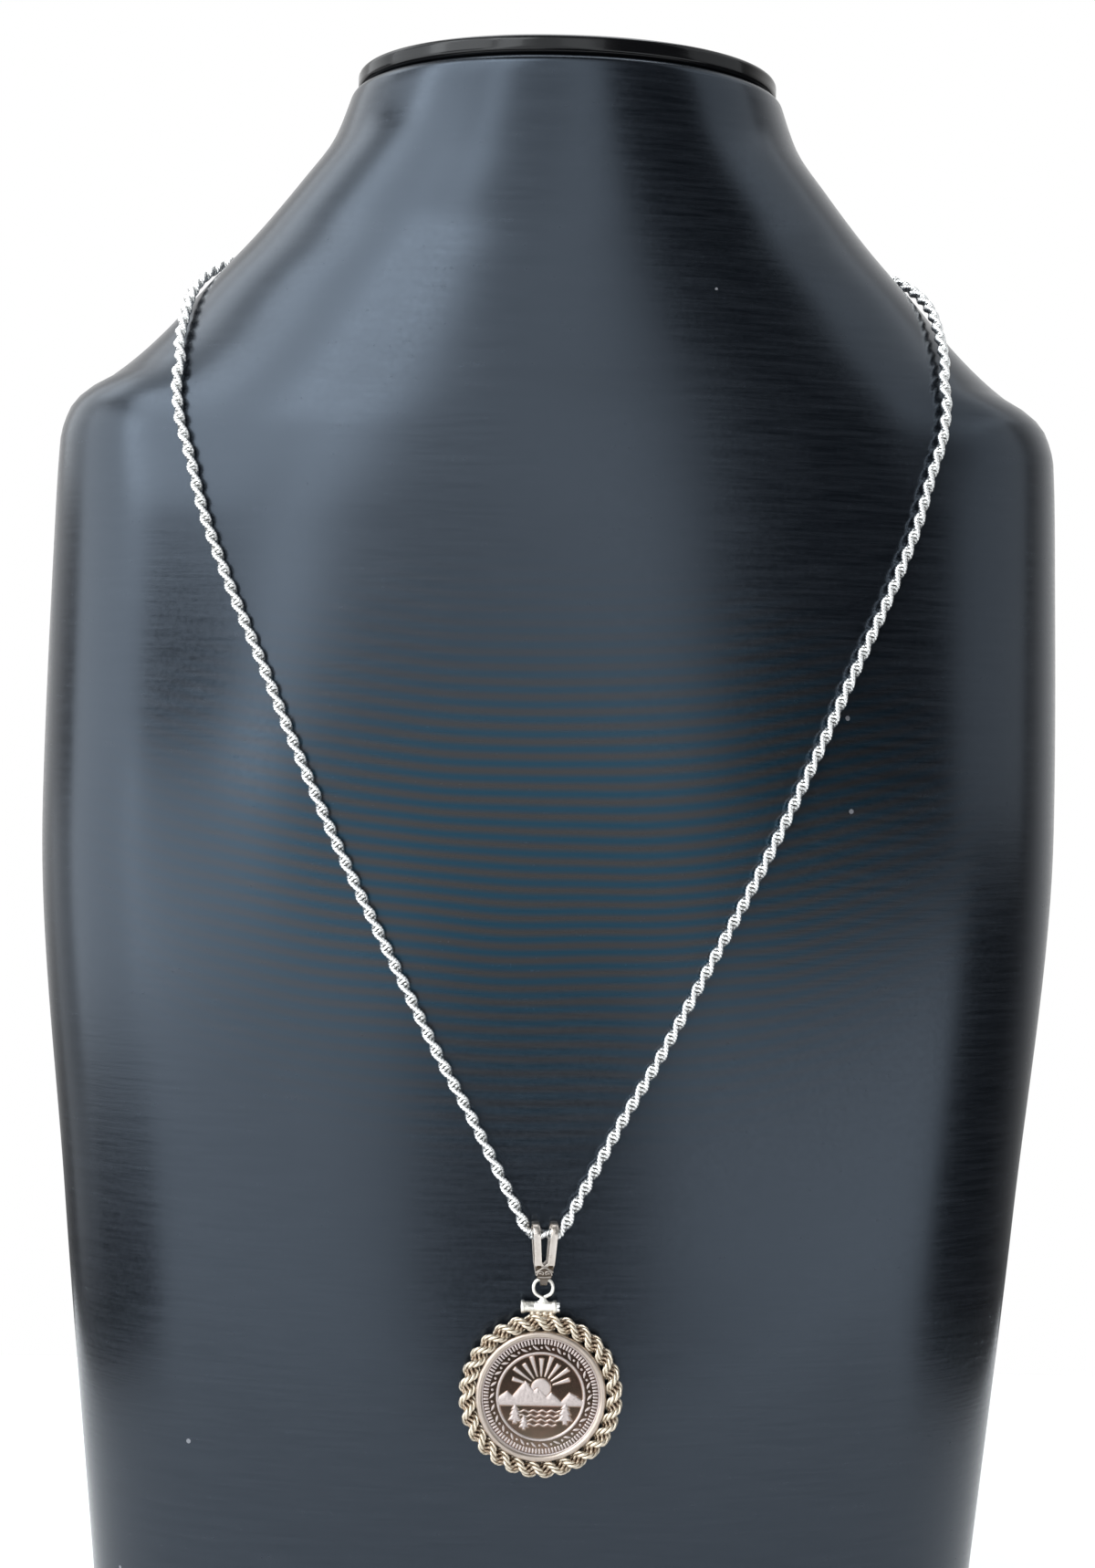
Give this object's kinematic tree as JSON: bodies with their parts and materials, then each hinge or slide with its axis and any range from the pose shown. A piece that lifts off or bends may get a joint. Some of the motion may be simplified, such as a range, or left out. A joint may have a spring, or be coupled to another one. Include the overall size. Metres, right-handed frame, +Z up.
{
  "type": "coin necklace on a neck bust",
  "caption": "Silver rope chain with a rope-edged coin pendant on a V bail, hung on a plain black neck display bust.",
  "frame": {"origin": "middle of the bust's flat base, on the surface that it stands on", "axes": "+X to the right as seen from the front, +Y from the chest to the back, +Z up"},
  "size_m": [0.217, 0.0981, 0.355],
  "materials": {
    "bust_vinyl": "satin black vinyl with fine level brush marks",
    "cap_gloss": "gloss black",
    "chain_silver": "bright diamond-cut silver",
    "bail_silver": "worn silver, darker in its hollows",
    "bezel_silver": "aged warm silver, darker in its grooves",
    "coin_silver": "mirror field with frosted relief"
  },
  "bodies": {
    "bust": {"bust_form": "bust_vinyl", "neck_cap": "cap_gloss", "rope_chain": "chain_silver", "clasp": "chain_silver"},
    "bail": {"bail": "bail_silver"},
    "pendant": {"bezel": "bezel_silver", "screw": "chain_silver", "coin": "coin_silver"}
  },
  "joints": [
    {"name": "bail_swing", "type": "hinge", "parent": "bust", "child": "bail", "pos_m": [0, -0.0455, 0.1144], "axis": [-1, 0, 0], "range_deg": [0, 85]},
    {"name": "pendant_swing", "type": "hinge", "parent": "bail", "child": "pendant", "pos_m": [0, -0.0455, 0.1053], "axis": [-1, 0, 0], "range_deg": [0, 80]}
  ]
}
